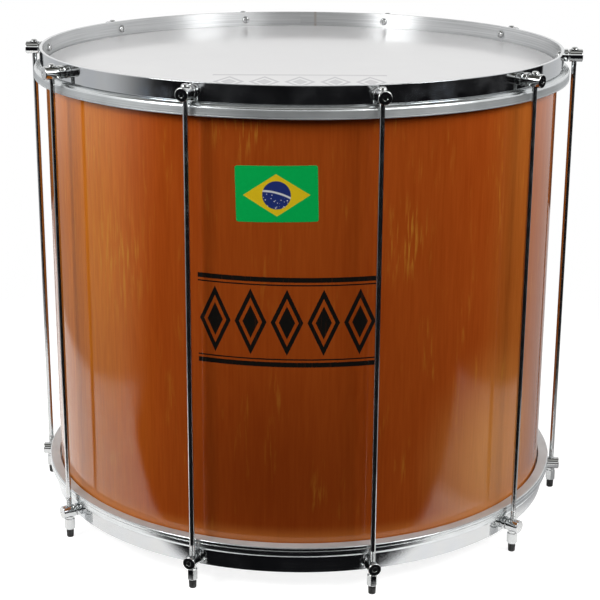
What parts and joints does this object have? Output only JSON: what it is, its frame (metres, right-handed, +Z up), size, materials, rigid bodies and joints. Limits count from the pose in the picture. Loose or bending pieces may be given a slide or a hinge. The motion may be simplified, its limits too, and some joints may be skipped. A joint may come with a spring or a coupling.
{
  "type": "surdo drum",
  "caption": "Deep two-headed bass drum: lacquered wood cylinder, white film heads under flat chrome hoops, upright tension rods on turned posts, hex nuts and rubber feet.",
  "frame": {"origin": "on the floor, midway under the ten rubber feet, on the drum's axis", "axes": "+Z up along the drum's axis, -Y towards the front of the picture, +X to the right seen from the front"},
  "size_m": [0.6144, 0.5988, 0.5209],
  "materials": {
    "lacquered_plywood": "amber gloss lacquer over fine vertical grain",
    "bare_plywood": "sanded, unlacquered",
    "drumhead_film": "milky polyester film, glossy",
    "aluminium": "satin extruded channel",
    "chrome": "bright chrome plate on steel",
    "rubber": "matt moulded rubber"
  },
  "bodies": {
    "drum": {"shell": "lacquered_plywood", "upper_reinforcing_ring": "bare_plywood", "lower_reinforcing_ring": "bare_plywood", "batter_film": "drumhead_film", "batter_flesh_hoop": "aluminium", "batter_counterhoop": "chrome", "resonant_film": "drumhead_film", "resonant_flesh_hoop": "aluminium", "resonant_counterhoop": "chrome", "upper_post_1": "chrome", "lower_post_1": "chrome", "upper_post_2": "chrome", "lower_post_2": "chrome", "upper_post_3": "chrome", "lower_post_3": "chrome", "upper_post_4": "chrome", "lower_post_4": "chrome", "upper_post_5": "chrome", "lower_post_5": "chrome", "upper_post_6": "chrome", "lower_post_6": "chrome", "upper_post_7": "chrome", "lower_post_7": "chrome", "upper_post_8": "chrome", "lower_post_8": "chrome", "upper_post_9": "chrome", "lower_post_9": "chrome", "upper_post_10": "chrome", "lower_post_10": "chrome"},
    "nut_1": {"tension_nut_1": "chrome", "rubber_foot_1": "rubber"},
    "rod_1": {"tension_rod_1": "chrome"},
    "nut_2": {"tension_nut_2": "chrome", "rubber_foot_2": "rubber"},
    "rod_2": {"tension_rod_2": "chrome"},
    "nut_3": {"tension_nut_3": "chrome", "rubber_foot_3": "rubber"},
    "rod_3": {"tension_rod_3": "chrome"},
    "nut_4": {"tension_nut_4": "chrome", "rubber_foot_4": "rubber"},
    "rod_4": {"tension_rod_4": "chrome"},
    "nut_5": {"tension_nut_5": "chrome", "rubber_foot_5": "rubber"},
    "rod_5": {"tension_rod_5": "chrome"},
    "nut_6": {"tension_nut_6": "chrome", "rubber_foot_6": "rubber"},
    "rod_6": {"tension_rod_6": "chrome"},
    "nut_7": {"tension_nut_7": "chrome", "rubber_foot_7": "rubber"},
    "rod_7": {"tension_rod_7": "chrome"},
    "nut_8": {"tension_nut_8": "chrome", "rubber_foot_8": "rubber"},
    "rod_8": {"tension_rod_8": "chrome"},
    "nut_9": {"tension_nut_9": "chrome", "rubber_foot_9": "rubber"},
    "rod_9": {"tension_rod_9": "chrome"},
    "nut_10": {"tension_nut_10": "chrome", "rubber_foot_10": "rubber"},
    "rod_10": {"tension_rod_10": "chrome"}
  },
  "joints": [
    {"name": "nut_turn_1", "type": "hinge", "parent": "drum", "child": "nut_1", "pos_m": [0.0735, -0.28941, 0.017], "axis": [0, 0, -1], "range_deg": [0, 6480]},
    {"name": "rod_lift_1", "type": "slide", "parent": "drum", "child": "rod_1", "axis": [0, 0, 1], "range_m": [0, 0.018]},
    {"name": "nut_turn_2", "type": "hinge", "parent": "drum", "child": "nut_2", "pos_m": [0.22958, -0.19094, 0.017], "axis": [0, 0, -1], "range_deg": [0, 6480]},
    {"name": "rod_lift_2", "type": "slide", "parent": "drum", "child": "rod_2", "axis": [0, 0, 1], "range_m": [0, 0.018]},
    {"name": "nut_turn_3", "type": "hinge", "parent": "drum", "child": "nut_3", "pos_m": [0.29796, -0.01953, 0.017], "axis": [0, 0, -1], "range_deg": [0, 6480]},
    {"name": "rod_lift_3", "type": "slide", "parent": "drum", "child": "rod_3", "axis": [0, 0, 1], "range_m": [0, 0.018]},
    {"name": "nut_turn_4", "type": "hinge", "parent": "drum", "child": "nut_4", "pos_m": [0.25253, 0.15934, 0.017], "axis": [0, 0, -1], "range_deg": [0, 6480]},
    {"name": "rod_lift_4", "type": "slide", "parent": "drum", "child": "rod_4", "axis": [0, 0, 1], "range_m": [0, 0.018]},
    {"name": "nut_turn_5", "type": "hinge", "parent": "drum", "child": "nut_5", "pos_m": [0.11065, 0.27734, 0.017], "axis": [0, 0, -1], "range_deg": [0, 6480]},
    {"name": "rod_lift_5", "type": "slide", "parent": "drum", "child": "rod_5", "axis": [0, 0, 1], "range_m": [0, 0.018]},
    {"name": "nut_turn_6", "type": "hinge", "parent": "drum", "child": "nut_6", "pos_m": [-0.0735, 0.28941, 0.017], "axis": [0, 0, -1], "range_deg": [0, 6480]},
    {"name": "rod_lift_6", "type": "slide", "parent": "drum", "child": "rod_6", "axis": [0, 0, 1], "range_m": [0, 0.018]},
    {"name": "nut_turn_7", "type": "hinge", "parent": "drum", "child": "nut_7", "pos_m": [-0.22958, 0.19094, 0.017], "axis": [0, 0, -1], "range_deg": [0, 6480]},
    {"name": "rod_lift_7", "type": "slide", "parent": "drum", "child": "rod_7", "axis": [0, 0, 1], "range_m": [0, 0.018]},
    {"name": "nut_turn_8", "type": "hinge", "parent": "drum", "child": "nut_8", "pos_m": [-0.29796, 0.01953, 0.017], "axis": [0, 0, -1], "range_deg": [0, 6480]},
    {"name": "rod_lift_8", "type": "slide", "parent": "drum", "child": "rod_8", "axis": [0, 0, 1], "range_m": [0, 0.018]},
    {"name": "nut_turn_9", "type": "hinge", "parent": "drum", "child": "nut_9", "pos_m": [-0.25253, -0.15934, 0.017], "axis": [0, 0, -1], "range_deg": [0, 6480]},
    {"name": "rod_lift_9", "type": "slide", "parent": "drum", "child": "rod_9", "axis": [0, 0, 1], "range_m": [0, 0.018]},
    {"name": "nut_turn_10", "type": "hinge", "parent": "drum", "child": "nut_10", "pos_m": [-0.11065, -0.27734, 0.017], "axis": [0, 0, -1], "range_deg": [0, 6480]},
    {"name": "rod_lift_10", "type": "slide", "parent": "drum", "child": "rod_10", "axis": [0, 0, 1], "range_m": [0, 0.018]}
  ],
  "couplings": [
    {"joint": "nut_turn_1", "follows": "rod_lift_1", "rad_per_m": 6283.2},
    {"joint": "nut_turn_2", "follows": "rod_lift_2", "rad_per_m": 6283.2},
    {"joint": "nut_turn_3", "follows": "rod_lift_3", "rad_per_m": 6283.2},
    {"joint": "nut_turn_4", "follows": "rod_lift_4", "rad_per_m": 6283.2},
    {"joint": "nut_turn_5", "follows": "rod_lift_5", "rad_per_m": 6283.2},
    {"joint": "nut_turn_6", "follows": "rod_lift_6", "rad_per_m": 6283.2},
    {"joint": "nut_turn_7", "follows": "rod_lift_7", "rad_per_m": 6283.2},
    {"joint": "nut_turn_8", "follows": "rod_lift_8", "rad_per_m": 6283.2},
    {"joint": "nut_turn_9", "follows": "rod_lift_9", "rad_per_m": 6283.2},
    {"joint": "nut_turn_10", "follows": "rod_lift_10", "rad_per_m": 6283.2}
  ]
}
